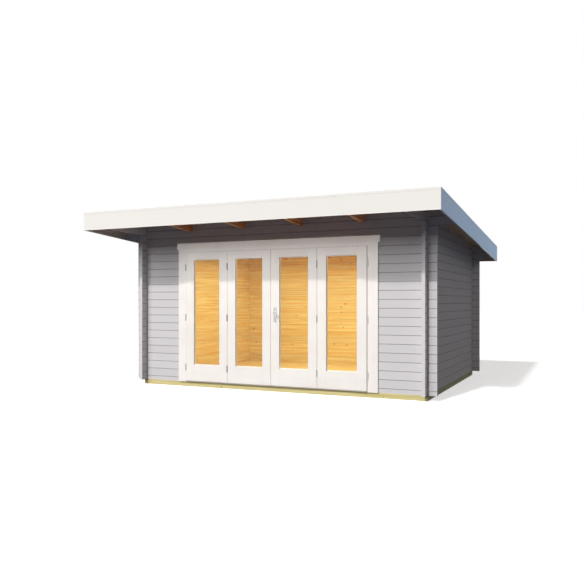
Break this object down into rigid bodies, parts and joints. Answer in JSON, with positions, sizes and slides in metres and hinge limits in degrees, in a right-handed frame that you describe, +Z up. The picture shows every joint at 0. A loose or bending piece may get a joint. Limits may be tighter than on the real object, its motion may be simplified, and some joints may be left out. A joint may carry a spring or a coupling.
{
  "type": "garden office pod",
  "caption": "Log-built garden office pod with a single-slope roof, deep front overhang on rafters and a glazed folding door across the front.",
  "frame": {"origin": "on the ground, at the centre of the bounding box's bottom face", "axes": "+X along the front to the right as seen from outside, +Y from the front to the back, +Z up"},
  "size_m": [5.034, 4.533, 2.494],
  "materials": {
    "painted_logs": "pale grey satin paint on planed pine logs",
    "treated_timber": "sawn, green-yellow pressure-treated pine",
    "floor_pine": "planed natural pine",
    "roof_pine": "planed natural pine",
    "roofing_sheet": "matt dark membrane",
    "white_fascia": "smooth white coated sheet",
    "white_joinery": "white satin paint on joinery",
    "threshold_metal": "mill grey",
    "door_glass": "clear float glass",
    "hinge_steel": "satin grey",
    "handle_satin": "satin light grey"
  },
  "bodies": {
    "root": {"back_wall": "painted_logs", "front_wall_left": "painted_logs", "front_wall_right": "painted_logs", "front_wall_top": "painted_logs", "left_wall": "painted_logs", "right_wall": "painted_logs", "bearer_front": "treated_timber", "bearer_back": "treated_timber", "bearer_left": "treated_timber", "bearer_right": "treated_timber", "floor_joists": "treated_timber", "floor_boards": "floor_pine", "rafter_1": "roof_pine", "rafter_2": "roof_pine", "rafter_3": "roof_pine", "rafter_4": "roof_pine", "roof_boards": "roof_pine", "roof_covering": "roofing_sheet", "fascia_front": "white_fascia", "fascia_back": "white_fascia", "fascia_left": "white_fascia", "fascia_right": "white_fascia", "door_jamb_left": "white_joinery", "door_jamb_right": "white_joinery", "door_head": "white_joinery", "casing_left": "white_joinery", "casing_right": "white_joinery", "casing_head": "white_joinery", "door_threshold": "threshold_metal", "door_leaf_1": "white_joinery", "door_leaf_2": "white_joinery", "door_leaf_3": "white_joinery", "door_leaf_4": "white_joinery", "door_pane_1": "door_glass", "door_pane_2": "door_glass", "door_pane_3": "door_glass", "door_pane_4": "door_glass", "door_hinges_1": "hinge_steel", "door_hinges_2": "hinge_steel", "door_hinges_3": "hinge_steel", "door_hinges_4": "hinge_steel", "handle_plate": "handle_satin", "handle_lever": "handle_satin"}
  },
  "joints": []
}
